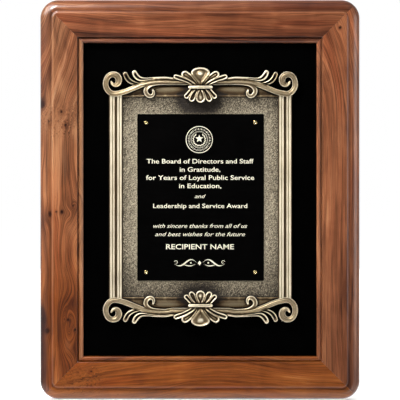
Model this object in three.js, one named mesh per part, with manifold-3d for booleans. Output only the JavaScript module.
// Wall plaque: mitred walnut frame, removable velour covered panel, antique bronze
// casting and a black engraving plate.
// Millimetres, +Z up, front face towards -Y, back towards the wall at +Y.
// Origin: the hook point of the keyhole hanger, in the wall plane y = 0.

import * as THREE from 'three';
import * as BufferGeometryUtils from 'three/addons/utils/BufferGeometryUtils.js';
import Module from 'manifold-3d';

const wasm = await Module();
wasm.setup();

// ---------------------------------------------------------------- dimensions

const CLEAR = 0.3;                 // gap kept between pieces that touch

// overall frame
const FRAME_W = 304.8;             // 12 in
const FRAME_H = 381.0;             // 15 in
const CORNER_R = 17.5;             // rounded outer corners
const STAND_OFF = 3.0;             // frame back to wall, set by the bumpers
const FRAME_T = 19.05;             // dressed thickness of the walnut

// rail section, measured inwards from the outer edge and up from the frame's back
const SIDE_H = 7.4;                // straight part of the outer side
const OVOLO_W = 9.1;               // rounded outer edge, width
const OVOLO_TOP = 16.9;            // height at the top of the rounded edge
const FACE_START = 11.5;           // foot of the step up to the main face
const FACE_EASE = 0.8;             // softened arris of the main face
const FACE_END = 35.8;             // inner end of the flat main face
const QUIRK_DEPTH = 1.25;          // small quirk inside the main face
const LIP_START = 36.8;            // top of the sloped inner lip
const RAIL_W = 41.3;               // sight edge
const LIP_LOW = 14.2;              // height of the sight edge's front arris
const RABBET_W = 6.35;             // rabbet ledge
const RABBET_H = 10.8;             // rabbet depth from the back

// corner splines
const SPLINE_L = 24, SPLINE_W = 22, SPLINE_T = 3.2, SPLINE_Z = 3.6, SPLINE_IN = 21;

// panel
const VELOUR_T = 0.6;
const VELOUR_TURN = 20;            // turned over on the back
const BOARD_T = 8.5;

// casting, measured from its own centre
const CAST_X = 0.5, CAST_Z = 2.5;  // casting centre from the frame's centre
const FIELD_T = 2.5;
const COLUMN_T = 3.3;              // base of a reeded column
const FASCIA_T = 4.0;
const SCROLL_T = 8.0;
const VOLUTE_T = 8.4;
const LEAF_T = 7.0;
const PETAL_T = 11.4;
const WAIST_T = 12.4;

// engraving plate
const PLATE_W = 120.65, PLATE_H = 158.75, PLATE_T = 0.8;   // 4 3/4 x 6 1/4 in
const PLATE_X = 0.1, PLATE_Z = -0.4;                        // from casting centre
const PIN_X = 52.0, PIN_Z = 71.3;

// hardware on the back
const BUTTON_X = 127.4, BUTTON_Z = 100, BUTTON_L = 24, BUTTON_W = 9, BUTTON_T = 1.1;
const HANGER_IN = 16;              // hook point below the top edge of the frame
const BUMPER_D = 12.7, BUMPER_X = 134, BUMPER_Z = 171;
const CAST_SCREW_X = 81.0, CAST_SCREW_Z = 98.6;

// heights above the wall plane
const T_BACK = STAND_OFF;
const T_LEDGE = T_BACK + RABBET_H;
const T_VELOUR = T_LEDGE - CLEAR;              // pile surface
const T_BOARD = T_VELOUR - VELOUR_T - CLEAR;   // front of the board
const T_CAST = T_VELOUR + CLEAR;               // back of the casting
const T_PLATE = T_CAST + FIELD_T + CLEAR;
const HOOK_Z = FRAME_H / 2 - HANGER_IN;

// ------------------------------------------------------------------ materials

const mat = (color, roughness, metalness) =>
  new THREE.MeshStandardMaterial({ color, roughness, metalness });
const walnut = () => mat(0x8a5330, 0.4, 0);
const maple = () => mat(0xc9a87a, 0.6, 0);
const fibreboard = () => mat(0x9a7650, 0.85, 0);
const velour = () => mat(0x050505, 1, 0);
const bronze = () => mat(0x8d8365, 0.35, 1);
const blackBrass = () => mat(0x070707, 0.3, 0.3);
const brass = () => mat(0xd9c68a, 0.3, 1);
const zinc = () => mat(0xb9bcc0, 0.35, 1);
const rubber = () => mat(0x1b1b1b, 0.85, 0);

// ---------------------------------------------------------------- solid tools

// All solids are drawn in a local frame: x right, y up, z out of the wall.

function solidOf(geometry) {
  const g = geometry.clone();
  g.deleteAttribute('normal');
  g.deleteAttribute('uv');
  const m = BufferGeometryUtils.mergeVertices(g, 1e-4);
  const mesh = new wasm.Mesh({
    numProp: 3,
    vertProperties: new Float32Array(m.attributes.position.array),
    triVerts: new Uint32Array(m.index.array),
  });
  return new wasm.Manifold(mesh);
}

function geometryOf(solid) {
  const m = solid.getMesh();
  const g = new THREE.BufferGeometry();
  const p = [];
  for (let i = 0; i < m.numVert; i++) {
    p.push(m.vertProperties[i * m.numProp], m.vertProperties[i * m.numProp + 1], m.vertProperties[i * m.numProp + 2]);
  }
  g.setAttribute('position', new THREE.Float32BufferAttribute(p, 3));
  g.setIndex(Array.from(m.triVerts));
  g.computeVertexNormals();
  return g;
}

// straight sided slab of an outline between two heights
function slab(shape, t0, t1, segments = 8) {
  const g = new THREE.ExtrudeGeometry(shape, { depth: t1 - t0, bevelEnabled: false, curveSegments: segments });
  g.translate(0, 0, t0);
  return solidOf(g);
}

// slab whose front edge is rounded or chamfered; it reaches one bevel below t0
function eased(shape, t0, t1, width, height, steps = 1, segments = 8) {
  const depth = t1 - t0 - height;
  const g = new THREE.ExtrudeGeometry(shape, {
    depth, bevelEnabled: true, bevelThickness: height, bevelSize: width,
    bevelOffset: -width, bevelSegments: steps, curveSegments: segments,
  });
  g.translate(0, 0, t0);
  return solidOf(g);
}

function box(x0, y0, z0, x1, y1, z1) {
  const g = new THREE.BoxGeometry(x1 - x0, y1 - y0, z1 - z0);
  g.translate((x0 + x1) / 2, (y0 + y1) / 2, (z0 + z1) / 2);
  return solidOf(g);
}

// turned piece about the local z axis from a profile of [radius, height]
function turnedGeometry(profile, x, y, sides = 16) {
  const g = new THREE.LatheGeometry(profile.map(([r, h]) => new THREE.Vector2(r, h)), sides);
  g.rotateX(Math.PI / 2);
  g.translate(x, y, 0);
  return g;
}

// the profile runs upwards along the local z axis
function turned(profile, x, y, sides = 16) {
  return solidOf(turnedGeometry(profile, x, y, sides));
}

const drill = (x, y, r, t0, t1, sides = 10) =>
  turned([[0, t0], [r, t0], [r, t1], [0, t1]], x, y, sides);

function roundedRect(w, h, r) {
  const s = new THREE.Shape();
  const x = w / 2, y = h / 2;
  s.moveTo(-x + r, -y);
  s.lineTo(x - r, -y);
  s.absarc(x - r, -y + r, r, -Math.PI / 2, 0);
  s.lineTo(x, y - r);
  s.absarc(x - r, y - r, r, 0, Math.PI / 2);
  s.lineTo(-x + r, y);
  s.absarc(-x + r, y - r, r, Math.PI / 2, Math.PI);
  s.lineTo(-x, -y + r);
  s.absarc(-x + r, -y + r, r, Math.PI, 1.5 * Math.PI);
  return s;
}

const polygon = (pts) => new THREE.Shape(pts.map(([x, y]) => new THREE.Vector2(x, y)));
const rect = (w, h) => polygon([[-w / 2, -h / 2], [w / 2, -h / 2], [w / 2, h / 2], [-w / 2, h / 2]]);

// Outline of a ribbon of varying width along a smooth centre line given as
// [x, y, half width], with a rounded nose at either end.
function ribbon(rows, samples, { startNose = 0, endNose = 1, noseSteps = 3, inset = 0, sx = 1, sy = 1 } = {}) {
  const curve = new THREE.CatmullRomCurve3(rows.map(([x, y, w]) => new THREE.Vector3(x, y, w)), false, 'centripetal');
  const pts = curve.getPoints(samples);
  const left = [], right = [];
  const n = pts.length;
  const dir = (i) => {
    const a = pts[Math.max(0, i - 1)], b = pts[Math.min(n - 1, i + 1)];
    const dx = b.x - a.x, dy = b.y - a.y, l = Math.hypot(dx, dy);
    return [dx / l, dy / l];
  };
  for (let i = 0; i < n; i++) {
    const [tx, ty] = dir(i);
    const w = Math.max(0.2, pts[i].z - inset);
    left.push([pts[i].x - ty * w, pts[i].y + tx * w]);
    right.push([pts[i].x + ty * w, pts[i].y - tx * w]);
  }
  const nose = (i, sign, length) => {
    const [tx, ty] = dir(i);
    const w = Math.max(0.2, pts[i].z - inset);
    const l = Math.max(0.2, pts[i].z * length - inset);
    const out = [];
    for (let k = 1; k < noseSteps * 2; k++) {
      const a = (Math.PI * k) / (noseSteps * 2);
      const along = Math.sin(a) * l * sign, across = Math.cos(a) * w * sign;
      out.push([pts[i].x + tx * along - ty * across, pts[i].y + ty * along + tx * across]);
    }
    return out;
  };
  let loop = [...left];
  if (endNose) loop = loop.concat(nose(n - 1, 1, endNose));
  loop = loop.concat(right.reverse());
  if (startNose) loop = loop.concat(nose(0, -1, startNose));
  return polygon(loop.map(([x, y]) => [x * sx, y * sy]));
}

// ----------------------------------------------------------------- mesh maker

const group = new THREE.Group();
const names = new Set();

function put(name, solidOrGeometry, material) {
  const g = solidOrGeometry.isBufferGeometry ? solidOrGeometry : geometryOf(solidOrGeometry);
  g.translate(0, -HOOK_Z, 0);
  g.rotateX(Math.PI / 2);          // local z (out of the wall) becomes -Y
  const mesh = new THREE.Mesh(g, material);
  mesh.name = name;
  if (names.has(name)) throw new Error('name used twice: ' + name);
  names.add(name);
  group.add(mesh);
  return mesh;
}

// ----------------------------------------------------------------------- frame

// whole moulding before it is cut into four mitred rails
function moulding() {
  let body = eased(roundedRect(FRAME_W, FRAME_H, CORNER_R), T_BACK, T_BACK + OVOLO_TOP, OVOLO_W, OVOLO_TOP - SIDE_H, 4, 6);
  const face = eased(
    roundedRect(FRAME_W - 2 * FACE_START, FRAME_H - 2 * FACE_START, CORNER_R - FACE_START),
    T_BACK + 12, T_BACK + FRAME_T, FACE_EASE, 1.2, 1, 3);
  body = body.add(face);
  body = body.subtract(box(-200, -250, -30, 200, 250, T_BACK));
  // sight opening and rabbet
  body = body.subtract(slab(rect(FRAME_W - 2 * RAIL_W, FRAME_H - 2 * RAIL_W), -5, 40));
  const rabbet = RAIL_W - RABBET_W;
  body = body.subtract(slab(rect(FRAME_W - 2 * rabbet, FRAME_H - 2 * rabbet), -5, T_LEDGE));
  // quirk, then the lip sloping down to the sight edge
  body = body.subtract(slab(rect(FRAME_W - 2 * FACE_END, FRAME_H - 2 * FACE_END), T_BACK + FRAME_T - QUIRK_DEPTH, 40));
  const slope = RAIL_W - LIP_START;
  const drop = FRAME_T - QUIRK_DEPTH - LIP_LOW;
  const lip = new THREE.ExtrudeGeometry(rect(FRAME_W - 2 * RAIL_W, FRAME_H - 2 * RAIL_W), {
    depth: 10, bevelEnabled: true, bevelThickness: drop, bevelSize: slope, bevelSegments: 1,
  });
  lip.translate(0, 0, T_BACK + FRAME_T - QUIRK_DEPTH);
  return body.subtract(solidOf(lip));
}

const frameSolid = moulding();
const half = 0.5 * CLEAR * Math.SQRT2;
const OX = FRAME_W / 2 + 10, OY = FRAME_H / 2 + 10, DEEP = 70;

function railZone(side) {
  if (side === 'top' || side === 'bottom') {
    const s = side === 'top' ? 1 : -1;
    return slab(polygon([
      [-(OX - half), s * OY], [OX - half, s * OY], [OX - DEEP - half, s * (OY - DEEP)], [-(OX - DEEP - half), s * (OY - DEEP)],
    ]), -1, 40);
  }
  const s = side === 'right' ? 1 : -1;
  return slab(polygon([
    [s * OX, -(OY - half)], [s * OX, OY - half], [s * (OX - DEEP), OY - DEEP - half], [s * (OX - DEEP), -(OY - DEEP - half)],
  ]), -1, 40);
}

// splines across the four mitres
function splineShape(sx, sy, grow) {
  const cx = sx * (FRAME_W / 2 - SPLINE_IN), cy = sy * (FRAME_H / 2 - SPLINE_IN);
  const l = SPLINE_L / 2 + grow, w = SPLINE_W / 2 + grow, k = Math.SQRT1_2;
  const out = [];
  for (const [a, b] of [[-l, -w], [l, -w], [l, w], [-l, w]]) {
    // a runs along the mitre, b across it
    out.push([cx + (sx * a + sx * b) * k, cy + (sy * a - sy * b) * k]);
  }
  return polygon(out);
}
const corners = [['tl', -1, 1], ['tr', 1, 1], ['bl', -1, -1], ['br', 1, -1]];
let slots = null;
for (const [, sx, sy] of corners) {
  const s = slab(splineShape(sx, sy, CLEAR), T_BACK + SPLINE_Z - CLEAR, T_BACK + SPLINE_Z + SPLINE_T + CLEAR);
  slots = slots ? slots.add(s) : s;
}

const buttonPivots = [['1', -1, 1], ['2', 1, 1], ['3', -1, -1], ['4', 1, -1]];
let buttonHoles = null;
for (const [, sx, sy] of buttonPivots) {
  const h = drill(sx * BUTTON_X, sy * BUTTON_Z, 1.8, 0, T_BACK + 11.6);
  buttonHoles = buttonHoles ? buttonHoles.add(h) : h;
}

// keyhole hanger: pocket for the nail head, two screw holes
const HANGER_HOLE_Z = HOOK_Z - 10;         // centre of the round entry
const HANGER_SCREW_X = 19;
const hangerCentre = HOOK_Z - 5;
const pocket = slab((() => {
  const s = roundedRect(15, 22, 3);
  return s;
})(), 0, T_BACK + 8).translate([0, hangerCentre, 0]);
let hangerHoles = drill(-HANGER_SCREW_X, hangerCentre, 1.8, 0, T_BACK + 11).add(drill(HANGER_SCREW_X, hangerCentre, 1.8, 0, T_BACK + 11));

const cutFrame = frameSolid.subtract(slots).subtract(buttonHoles);
put('top_rail', cutFrame.intersect(railZone('top')).subtract(pocket).subtract(hangerHoles), walnut());
put('bottom_rail', cutFrame.intersect(railZone('bottom')), walnut());
put('left_stile', cutFrame.intersect(railZone('left')), walnut());
put('right_stile', cutFrame.intersect(railZone('right')), walnut());

for (const [tag, sx, sy] of corners) {
  put('corner_spline_' + tag, slab(splineShape(sx, sy, 0), T_BACK + SPLINE_Z, T_BACK + SPLINE_Z + SPLINE_T), maple());
}

// ----------------------------------------------------------------------- panel

const castScrews = [['1', -1, 1], ['2', 1, 1], ['3', -1, -1], ['4', 1, -1]]
  .map(([n, sx, sy]) => [n, CAST_X + sx * CAST_SCREW_X, CAST_Z + sy * CAST_SCREW_Z]);
const pins = [['1', -1, 1], ['2', 1, 1], ['3', -1, -1], ['4', 1, -1]]
  .map(([n, sx, sy]) => [n, CAST_X + PLATE_X + sx * PIN_X, CAST_Z + PLATE_Z + sy * PIN_Z]);

const panelHoles = (() => {
  let h = null;
  for (const [, x, z] of castScrews) {
    const d = drill(x, z, 2.0, -1, T_CAST);
    h = h ? h.add(d) : d;
  }
  for (const [, x, z] of pins) h = h.add(drill(x, z, 1.0, T_BOARD - 6, T_PLATE + 5, 8));
  return h;
})();

const openW = FRAME_W - 2 * (RAIL_W - RABBET_W), openH = FRAME_H - 2 * (RAIL_W - RABBET_W);
const velW = openW - 2 * CLEAR, velH = openH - 2 * CLEAR;
const boardW = velW - 2 * (VELOUR_T + CLEAR), boardH = velH - 2 * (VELOUR_T + CLEAR);
const T_BOARD_BACK = T_BOARD - BOARD_T;
const T_TURN = T_BOARD_BACK - CLEAR - VELOUR_T;

put('backing_board', slab(rect(boardW, boardH), T_BOARD_BACK, T_BOARD).subtract(panelHoles), fibreboard());

// cloth drawn over the front and edges and turned over on the back
const cover = slab(roundedRect(velW, velH, 1.2), T_TURN, T_VELOUR, 2)
  .subtract(slab(rect(boardW + 2 * CLEAR, boardH + 2 * CLEAR), T_TURN + VELOUR_T, T_VELOUR - VELOUR_T))
  .subtract(slab(rect(velW - 2 * VELOUR_TURN, velH - 2 * VELOUR_TURN), T_TURN - 1, T_TURN + 2))
  .subtract(panelHoles);
put('velour_cover', cover, velour());

// --------------------------------------------------------------------- casting

// Centre lines of the ornament in the upper right quarter, from the casting's
// centre: [x, z, half width].
const SCROLL = [[85.1, 109.9, 1.05], [84.04, 108.18, 1.4], [81.84, 107.22, 1.92], [79.63, 107.98, 2.49],
  [78.29, 110.28, 2.97], [78.19, 112.87, 3.12], [79.15, 114.98, 3.07], [81.17, 116.61, 2.93], [83.76, 117.19, 2.73],
  [86.54, 116.52, 2.64], [88.74, 114.5, 2.59], [90.09, 111.63, 2.59], [90.62, 108.37, 2.64], [90.18, 105.2, 2.64],
  [88.84, 102.42, 2.64], [86.54, 100.02, 2.64], [83.76, 98.78, 2.64], [80.78, 98.68, 2.64], [77.23, 99.35, 2.59],
  [72.43, 100.65, 2.54], [67.64, 102.52, 2.54], [62.84, 104.48, 2.49], [58.04, 106.4, 2.49], [53.25, 107.98, 2.4],
  [48.45, 109.04, 2.3], [43.65, 109.71, 2.21], [38.86, 110.09, 2.11], [31.18, 110.28, 2.01], [19.67, 110.28, 2.01],
  [-1, 110.28, 2.01]];
const VOLUTE = [[45.38, 102.04, 0.86], [44.8, 99.83, 1.25], [45.38, 97.72, 1.54], [47.2, 96.48, 1.82],
  [49.6, 96.86, 2.01], [51.62, 98.87, 2.11], [52.38, 101.46, 2.11], [51.62, 103.86, 2.01], [49.6, 105.87, 1.82],
  [46.53, 107.12, 1.44], [42.69, 107.79, 1.15], [36.94, 108.08, 0.96], [27.34, 108.18, 0.96], [-1, 108.18, 0.96]];
const LEAF_LOW = [[71.86, 117.38, 2.11], [70.9, 115.18, 2.3], [69.36, 112.59, 2.3], [67.06, 110.57, 2.11],
  [64.18, 109.23, 1.73], [60.92, 108.56, 1.25], [57.08, 108.18, 0.86]];
const LEAF_HIGH = [[63.13, 118.92, 2.3], [61.98, 116.61, 2.54], [59.96, 114.31, 2.49], [57.28, 112.87, 2.11],
  [53.73, 112.59, 1.54], [49.41, 112.97, 1.15], [43.65, 113.45, 1.1], [36.94, 113.74, 1.06], [27.34, 113.83, 1.06],
  [-1, 113.83, 1.06]];
// palmette petals, from the waist band outwards: right hand side and centre
const PETALS = [
  { rows: [[0, 106.2, 1.1], [0, 109.9, 2.49], [0, 112.78, 4.61], [0, 115.66, 6.91], [0, 118.05, 8.44], [0, 119.78, 8.83]], nose: 0.56, height: 0 },
  { rows: [[2.6, 106.4, 1.4], [5.47, 110.38, 2.11], [8.54, 113.55, 2.78], [11.7, 116.13, 3.26], [14.39, 117.77, 3.45]], nose: 1.15, height: -0.5 },
  { rows: [[5.6, 106.6, 1.5], [9.79, 109.81, 1.92], [13.62, 112.01, 2.11], [17.94, 113.93, 2.21], [21.3, 115.08, 2.3], [23.6, 115.85, 2.11]], nose: 1, height: -1 },
  { rows: [[0, 104.2, 1.1], [0, 100.31, 2.69], [0, 97.43, 3.93], [0, 94.56, 4.41]], nose: 1, height: -0.4 },
  { rows: [[2.8, 104.2, 1.2], [5.08, 100.31, 2.21], [6.72, 97.43, 2.69], [7.96, 94.56, 2.88], [8.44, 93.79, 2.69]], nose: 1, height: -0.9 },
  { rows: [[6.7, 104.2, 1.4], [9.79, 100.79, 2.01], [11.8, 98.2, 2.21], [13.34, 96.38, 2.4]], nose: 1, height: -1.4 },
];

const up = (h) => T_CAST + h;

// reeded column: two pairs of round beads with a hollow between, drawn as a
// section in x and z and run along y
const BEADS = [[74.93, 77.3], [77.3, 79.73], [82.03, 84.45], [84.45, 87.5]];
function columnShape() {
  const pts = [[74.0, 0], [88.2, 0], [88.2, 2.2], [87.5, COLUMN_T]];
  for (const [a, b] of [...BEADS].reverse()) {
    const c = (a + b) / 2, r = (b - a) / 2;
    for (let k = 1; k < 5; k++) {
      const q = (Math.PI * k) / 5;
      pts.push([c + r * Math.cos(q), COLUMN_T + 1.25 * r * Math.sin(q)]);
    }
    pts.push([a, COLUMN_T]);
    if (a > 82 && a < 82.1) {
      pts.push([81.3, 2.6]);
      pts.push([80.4, 2.6]);
      pts.push([79.73, COLUMN_T]);
    }
  }
  pts.push([74.0, FIELD_T]);
  return polygon(pts);
}
function column(sx) {
  const len = 2 * 99.5;
  const g = new THREE.ExtrudeGeometry(columnShape(), { depth: len, bevelEnabled: false });
  g.rotateX(Math.PI / 2);                    // section height becomes local z
  g.translate(0, len / 2, T_CAST);
  const s = solidOf(g);
  return sx > 0 ? s : s.mirror([1, 0, 0]);
}

function casting() {
  let c = slab(rect(2 * 87.6, 2 * 99.5), T_CAST, up(FIELD_T));
  c = c.add(column(1)).add(column(-1));
  for (const sy of [1, -1]) {
    // fascia with slanted ends, its raised lip, and the reeded bundle above it
    c = c.add(slab(polygon([
      [-74.6, sy * 95.0], [74.6, sy * 95.0], [74.6, sy * 99.4], [66, sy * 102.4], [56, sy * 106.2], [46, sy * 109],
      [-46, sy * 109], [-56, sy * 106.2], [-66, sy * 102.4], [-74.6, sy * 99.4],
    ]), T_CAST, up(FASCIA_T)));
    c = c.add(eased(polygon([[-74.6, sy * 96.3], [74.6, sy * 96.3], [74.6, sy * 98.1], [-74.6, sy * 98.1]]), T_CAST, up(FASCIA_T + 0.9), 0.5, 0.4));
    for (const sx of [1, -1]) {
      const o = { sx, sy, noseSteps: 2 };
      c = c.add(eased(ribbon(SCROLL, 36, { ...o, startNose: 1, endNose: 0 }), T_CAST, up(SCROLL_T), 0.6, 0.9));
      c = c.add(eased(ribbon(VOLUTE, 17, { ...o, startNose: 1, endNose: 0 }), T_CAST, up(VOLUTE_T), 0.45, 0.8));
      c = c.add(eased(ribbon(LEAF_LOW, 5, { ...o, startNose: 1, endNose: 0 }), T_CAST, up(LEAF_T - 0.6), 0.5, 0.9));
      c = c.add(eased(ribbon(LEAF_HIGH, 7, { ...o, startNose: 1, endNose: 0 }), T_CAST, up(LEAF_T), 0.5, 0.9));
    }
    // palmette
    let petals = null;
    for (const petal of PETALS) {
      for (const sx of petal.rows[0][0] === 0 ? [1] : [1, -1]) {
        const o = { sx, sy, startNose: 0, endNose: petal.nose, noseSteps: 2 };
        const top = up(PETAL_T + petal.height);
        let p = eased(ribbon(petal.rows, 4, o), T_CAST, top, 0.35, 0.5);
        const hollow = petal.rows.slice(1);
        p = p.subtract(slab(ribbon(hollow, 3, { ...o, inset: 1.15 }), top - 1.9, top + 2));
        petals = petals ? petals.add(p) : p;
      }
    }
    c = c.add(petals);
    // waist band
    const w = roundedRect(23.3, 2.9, 1.4);
    c = c.add(eased(w, T_CAST, up(WAIST_T), 0.5, 0.7, 1, 3).translate([0, sy * 105.0, 0]));
  }
  c = c.subtract(box(-150, -150, -40, 150, 150, T_CAST));
  return c;
}

let cast = casting().translate([CAST_X, CAST_Z, 0]);
for (const [, x, z] of castScrews) cast = cast.subtract(drill(x, z, 1.8, 0, T_CAST + 5.6));
for (const [, x, z] of pins) cast = cast.subtract(drill(x, z, 1.0, 0, T_PLATE, 8));
put('casting', cast, bronze());

// --------------------------------------------------------------- engraving plate

const plate = eased(roundedRect(PLATE_W, PLATE_H, 0.8), T_PLATE, T_PLATE + PLATE_T, 0.2, 0.2, 1, 2)
  .subtract(box(-100, -100, T_PLATE - 5, 100, 100, T_PLATE))
  .translate([CAST_X + PLATE_X, CAST_Z + PLATE_Z, 0])
  .subtract(panelHoles);
put('name_plate', plate, blackBrass());

// domed pins through plate and casting into the board
for (const [n, x, z] of pins) {
  const h = T_PLATE + PLATE_T + CLEAR;
  put('escutcheon_pin_' + n, turnedGeometry([
    [0, T_BOARD - 5], [0.7, T_BOARD - 3.6], [0.7, h], [1.9, h], [1.85, h + 0.35], [1.4, h + 0.85], [0.75, h + 1.15], [0, h + 1.25],
  ], x, z, 10), brass());
}

// ------------------------------------------------------------ hardware, back side

// round headed screw seen from the back; head between head0 and head1, shank up to tip
const screwProfile = (headR, head0, head1, shankR, tip) => [
  [0, head0], [headR * 0.72, head0], [headR, head0 + (head1 - head0) * 0.6], [headR, head1],
  [shankR, head1], [shankR, tip - 1.6], [0, tip],
];

for (const [n, x, z] of castScrews) {
  const w1 = T_BOARD_BACK - CLEAR, w0 = w1 - 0.8;
  const head1 = w0 - CLEAR;
  put('casting_washer_' + n, slab((() => {
    const s = new THREE.Shape();
    s.absarc(0, 0, 4.5, 0, 2 * Math.PI);
    const h = new THREE.Path();
    h.absarc(0, 0, 2.0, 0, 2 * Math.PI);
    s.holes.push(h);
    return s;
  })(), w0, w1, 10).translate([x, z, 0]), zinc());
  put('casting_screw_' + n, turnedGeometry(screwProfile(3.3, head1 - 1.9, head1, 1.5, T_CAST + 5.2), x, z, 10), zinc());
}

const T_BUTTON = T_BACK - CLEAR;
for (const [n, sx, sy] of buttonPivots) {
  const s = new THREE.Shape();
  const r = BUTTON_W / 2, far = BUTTON_L - BUTTON_W;
  s.moveTo(0, -r);
  s.lineTo(far, -r);
  s.absarc(far, 0, r, -Math.PI / 2, Math.PI / 2);
  s.lineTo(0, r);
  s.absarc(0, 0, r, Math.PI / 2, 1.5 * Math.PI);
  const hole = new THREE.Path();
  hole.absarc(0, 0, 2.0, 0, 2 * Math.PI);
  s.holes.push(hole);
  const g = new THREE.ExtrudeGeometry(s, { depth: BUTTON_T, bevelEnabled: false, curveSegments: 6 });
  if (sx > 0) g.rotateZ(Math.PI);
  g.translate(sx * BUTTON_X, sy * BUTTON_Z, T_BUTTON - BUTTON_T);
  put('turn_button_' + n, solidOf(g), zinc());
  const head1 = T_BUTTON - BUTTON_T - CLEAR;
  put('button_screw_' + n, turnedGeometry(screwProfile(3.6, head1 - 1.15, head1, 1.5, T_BACK + 11), sx * BUTTON_X, sy * BUTTON_Z, 10), zinc());
}

// keyhole hanger plate over its pocket
const HANGER_T = 1.2;
const hangerShape = (() => {
  const s = new THREE.Shape();
  const r = 8.5, x = 19;
  s.moveTo(-x, -r);
  s.lineTo(-10, -r);
  s.lineTo(-10, -12.5);
  s.lineTo(10, -12.5);
  s.lineTo(10, -r);
  s.lineTo(x, -r);
  s.absarc(x, 0, r, -Math.PI / 2, Math.PI / 2);
  s.lineTo(10, r);
  s.lineTo(10, 12);
  s.lineTo(-10, 12);
  s.lineTo(-10, r);
  s.lineTo(-x, r);
  s.absarc(-x, 0, r, Math.PI / 2, 1.5 * Math.PI);
  const key = new THREE.Path();
  // round entry below, narrow slot above, ending at the hook point
  const er = 5.0, nr = 2.6;
  const ey = HANGER_HOLE_Z - hangerCentre, ny = HOOK_Z - hangerCentre - nr;
  const a = Math.asin(nr / er);
  key.absarc(0, ny, nr, 0, Math.PI, false);
  key.absarc(0, ey, er, Math.PI / 2 + a, Math.PI / 2 - a + 2 * Math.PI, false);
  s.holes.push(key);
  for (const sx of [-1, 1]) {
    const h = new THREE.Path();
    h.absarc(sx * HANGER_SCREW_X, 0, 2.0, 0, 2 * Math.PI);
    s.holes.push(h);
  }
  return s;
})();
put('keyhole_hanger', slab(hangerShape, T_BACK - CLEAR - HANGER_T, T_BACK - CLEAR, 6).translate([0, hangerCentre, 0]), zinc());
for (const [n, sx] of [['1', -1], ['2', 1]]) {
  const head1 = T_BACK - 2 * CLEAR - HANGER_T;
  put('hanger_screw_' + n, turnedGeometry(screwProfile(3.4, head1 - 1.1, head1, 1.5, T_BACK + 10.4), sx * HANGER_SCREW_X, hangerCentre, 10), zinc());
}

// wall bumpers
for (const [i, [, sx, sy]] of corners.entries()) {
  const r = BUMPER_D / 2, t = T_BACK - CLEAR;
  put('bumper_' + (i + 1), turnedGeometry([
    [0, 0], [r - 0.7, 0], [r - 0.15, 0.5], [r, 1.1], [r, t], [0, t],
  ], sx * BUMPER_X, sy * BUMPER_Z, 14), rubber());
}

export default group;
